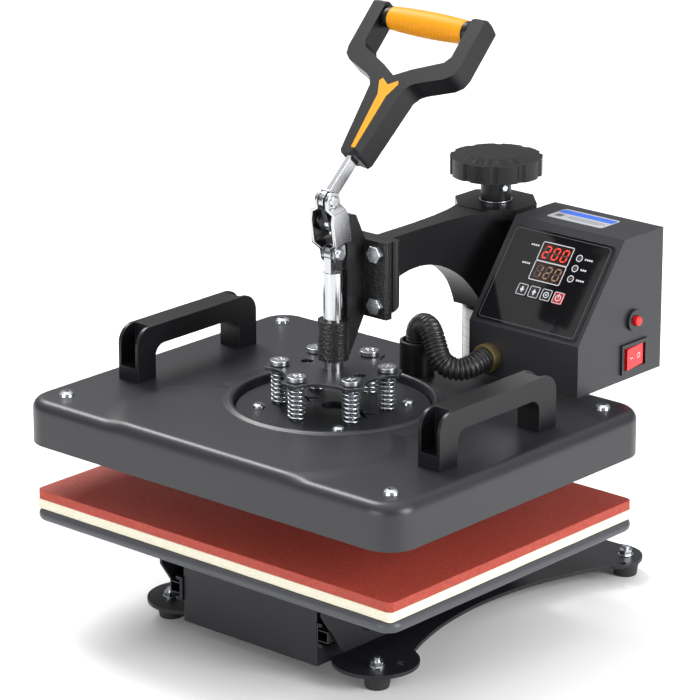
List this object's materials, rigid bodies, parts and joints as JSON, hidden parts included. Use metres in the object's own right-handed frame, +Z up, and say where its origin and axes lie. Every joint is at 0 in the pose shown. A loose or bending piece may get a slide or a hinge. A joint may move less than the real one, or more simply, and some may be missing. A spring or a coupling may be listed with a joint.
{
  "type": "heat press",
  "caption": "Swing-away flat heat press: slide-out padded bed, spring-floated heated platen on a toggle lever, control box on the swinging arm.",
  "frame": {"origin": "under the centre of the object's plan box, on the surface that the rubber feet stand on", "axes": "+X to the operator's right, +Y away from the operator, +Z up; the operator stands at -Y"},
  "size_m": [0.397, 0.4225, 0.4922],
  "materials": {
    "black_steel": "black powder coat",
    "rubber_black": "matt rubber",
    "zinc": "bright zinc",
    "post_black": "satin black paint",
    "ground_steel": "ground steel",
    "slide_steel": "zinc plated rail",
    "tray_grey": "grey powder coat",
    "foam_white": "white silicone foam",
    "silicone_red": "red-brown silicone sheet",
    "bronze": "sintered bronze",
    "cast_black": "black crackle paint",
    "box_grey": "charcoal fine texture paint",
    "overlay_black": "gloss polyester",
    "display_red": "red digits",
    "board_green": "circuit board",
    "relay_blue": "relay case",
    "plastic_black": "black moulding",
    "gland_brass": "dull brass",
    "hose_black": "corrugated nylon",
    "knob_black": "satin black phenolic",
    "chrome": "bright chrome",
    "handle_black": "fine-grain black moulding",
    "grip_yellow": "yellow grip",
    "cover_grey": "charcoal satin paint",
    "cast_aluminium": "cast, ground face",
    "element_steel": "sheathed element",
    "blanket": "mineral wool blanket",
    "switch_red": "red translucent"
  },
  "bodies": {
    "base": {"base_plate": "black_steel", "rubber_feet": "rubber_black", "foot_screws": "zinc", "post_column": "post_black", "post_shaft": "ground_steel", "post_bolts": "zinc", "slide_outer_rails": "slide_steel"},
    "slide_middle": {"slide_middle_rails": "slide_steel"},
    "bed": {"slide_inner_rails": "slide_steel", "bed_brackets": "black_steel", "bed_tray": "tray_grey", "foam_pad": "foam_white", "silicone_pad": "silicone_red", "bed_screws": "zinc"},
    "swing": {"thrust_ring": "bronze"},
    "arm": {"swing_arm": "post_black", "collar_bush": "bronze", "guide_bracket": "cast_black", "bracket_bolts": "zinc", "lever_pivot_pin": "zinc", "control_box_shell": "box_grey", "box_back_cover": "box_grey", "box_screws": "zinc", "control_overlay": "overlay_black", "display_modules": "display_red", "circuit_board": "board_green", "relay_block": "relay_blue", "power_inlet": "plastic_black", "hose_gland": "gland_brass", "hose": "hose_black", "breaker_body": "plastic_black", "switch_bezel": "plastic_black"},
    "knob": {"pressure_knob": "knob_black", "knob_hardware": "zinc", "pressure_screw": "zinc"},
    "lever": {"lever_bar": "chrome", "handle_shell": "handle_black", "grip_sleeve": "grip_yellow", "handle_inlay": "grip_yellow"},
    "links": {"link_plates": "chrome", "link_rivets": "zinc"},
    "plunger": {"plunger_shaft": "chrome", "press_plate": "cover_grey", "springs": "zinc"},
    "platen": {"platen_cover": "cover_grey", "platen_screws": "zinc", "spring_disc": "black_steel", "levelling_bolts": "zinc", "carry_handles": "plastic_black", "heat_plate": "cast_aluminium", "heating_element": "element_steel", "insulation": "blanket", "hose_boss": "plastic_black"},
    "rocker": {"rocker": "switch_red"},
    "reset": {"reset_button": "switch_red"},
    "key_a": {"key_1": "overlay_black"},
    "key_b": {"key_2": "overlay_black"},
    "key_c": {"key_3": "overlay_black"},
    "key_d": {"key_4": "switch_red"}
  },
  "joints": [
    {"name": "bed_slide", "type": "slide", "parent": "base", "child": "bed", "axis": [0, -1, 0], "range_m": [0, 0.18]},
    {"name": "middle_slide", "type": "slide", "parent": "base", "child": "slide_middle", "axis": [0, -1, 0], "range_m": [0, 0.09]},
    {"name": "arm_swing", "type": "hinge", "parent": "base", "child": "swing", "pos_m": [0, 0.15025, 0.2287], "axis": [0, 0, 1], "continuous": true},
    {"name": "arm_lift", "type": "slide", "parent": "swing", "child": "arm", "axis": [0, 0, 1], "range_m": [0, 0.006]},
    {"name": "knob_turn", "type": "hinge", "parent": "arm", "child": "knob", "pos_m": [0, 0.15025, 0.3367], "axis": [0, 0, 1], "range_deg": [0, 1080]},
    {"name": "lever_turn", "type": "hinge", "parent": "arm", "child": "lever", "pos_m": [0, -0.05375, 0.3417], "axis": [1, 0, 0], "range_deg": [0, 160]},
    {"name": "link_turn", "type": "hinge", "parent": "lever", "child": "links", "pos_m": [0, -0.0608, 0.36106], "axis": [1, 0, 0], "range_deg": [-168.83, 0]},
    {"name": "plunger_slide", "type": "slide", "parent": "arm", "child": "plunger", "axis": [0, 0, -1], "range_m": [0, 0.0405]},
    {"name": "platen_float", "type": "slide", "parent": "plunger", "child": "platen", "axis": [0, 0, 1], "range_m": [0, 0.003], "stiffness_N_per_m": 30000, "springref_m": -0.004, "deforming": ["springs"]},
    {"name": "rocker_tilt", "type": "hinge", "parent": "arm", "child": "rocker", "pos_m": [0.151, 0.13925, 0.216], "axis": [0, 0, 1], "range_deg": [-14.7, 0]},
    {"name": "reset_press", "type": "slide", "parent": "arm", "child": "reset", "axis": [-1, 0, 0], "range_m": [0, 0.0025], "stiffness_N_per_m": 600, "springref_m": -0.001},
    {"name": "key_press_a", "type": "slide", "parent": "arm", "child": "key_a", "axis": [0, 0.7924, -0.61], "range_m": [0, 0.0005], "stiffness_N_per_m": 800, "springref_m": -0.0005},
    {"name": "key_press_b", "type": "slide", "parent": "arm", "child": "key_b", "axis": [0, 0.7924, -0.61], "range_m": [0, 0.0005], "stiffness_N_per_m": 800, "springref_m": -0.0005},
    {"name": "key_press_c", "type": "slide", "parent": "arm", "child": "key_c", "axis": [0, 0.7924, -0.61], "range_m": [0, 0.0005], "stiffness_N_per_m": 800, "springref_m": -0.0005},
    {"name": "key_press_d", "type": "slide", "parent": "arm", "child": "key_d", "axis": [0, 0.7924, -0.61], "range_m": [0, 0.0005], "stiffness_N_per_m": 800, "springref_m": -0.0005}
  ],
  "couplings": [
    {"joint": "middle_slide", "follows": "bed_slide", "ratio": 0.5},
    {"joint": "knob_turn", "follows": "arm_lift", "rad_per_m": 3141.6},
    {"joint": "link_turn", "follows": "lever_turn", "ratio": -1.0552},
    {"joint": "plunger_slide", "follows": "lever_turn", "m_per_rad": 0.014504}
  ]
}
